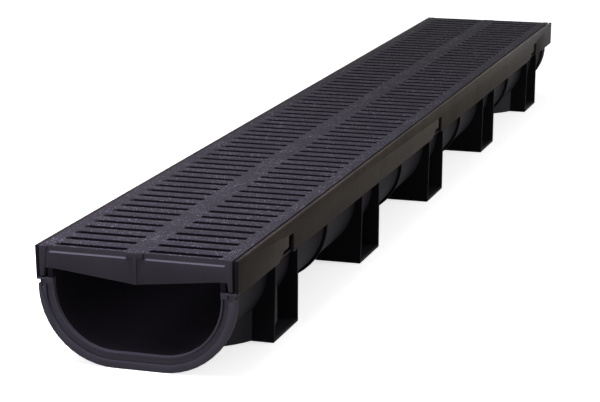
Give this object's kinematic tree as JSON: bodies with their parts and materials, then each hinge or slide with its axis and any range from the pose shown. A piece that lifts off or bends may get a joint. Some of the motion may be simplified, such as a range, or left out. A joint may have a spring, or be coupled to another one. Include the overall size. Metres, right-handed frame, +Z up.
{
  "type": "channel drain",
  "caption": "Linear drainage channel with a rounded trough, moulded feet, socket and spigot ends and a lift-out slotted grate.",
  "frame": {"origin": "middle of the soles of the feet, half way along the whole length", "axes": "+Y along the channel from the socket end to the spigot end, +X across it, +Z up to the grate"},
  "size_m": [0.137, 1.0026, 0.077],
  "materials": {
    "channel_plastic": "black moulded polypropylene, satin",
    "grate_plastic": "charcoal moulded polypropylene with a fine spark texture"
  },
  "bodies": {
    "root": {"channel_body": "channel_plastic", "grate": "grate_plastic"}
  },
  "joints": []
}
